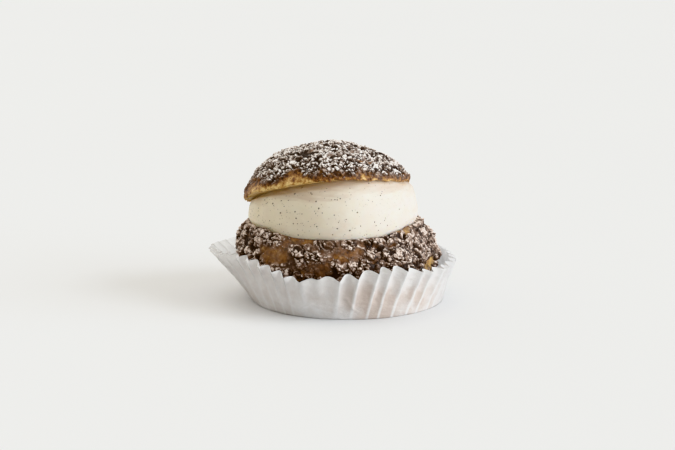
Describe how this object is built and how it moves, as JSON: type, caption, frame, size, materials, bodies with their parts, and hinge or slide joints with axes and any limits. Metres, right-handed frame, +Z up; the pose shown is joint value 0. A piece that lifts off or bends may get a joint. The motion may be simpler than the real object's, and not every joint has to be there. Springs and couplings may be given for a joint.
{
  "type": "coffee cream puff",
  "caption": "Round choux bun with a cracked sugar crust, cut across and filled with pale speckled cream, its lid tilted open, in a pleated white paper case.",
  "frame": {"origin": "centre of the whole object's footprint, on the surface it stands on, under the paper case", "axes": "+Z up; -Y towards the side where the lid is open widest; +X to the right of someone who looks at that side"},
  "size_m": [0.0878, 0.0831, 0.0573],
  "materials": {
    "paper": "matte",
    "choux_base": "matte",
    "cream": "satin",
    "choux_cap": "matte"
  },
  "bodies": {
    "root": {"paper_case": "paper", "choux_base": "choux_base", "cream": "cream", "choux_cap": "choux_cap"}
  },
  "joints": []
}
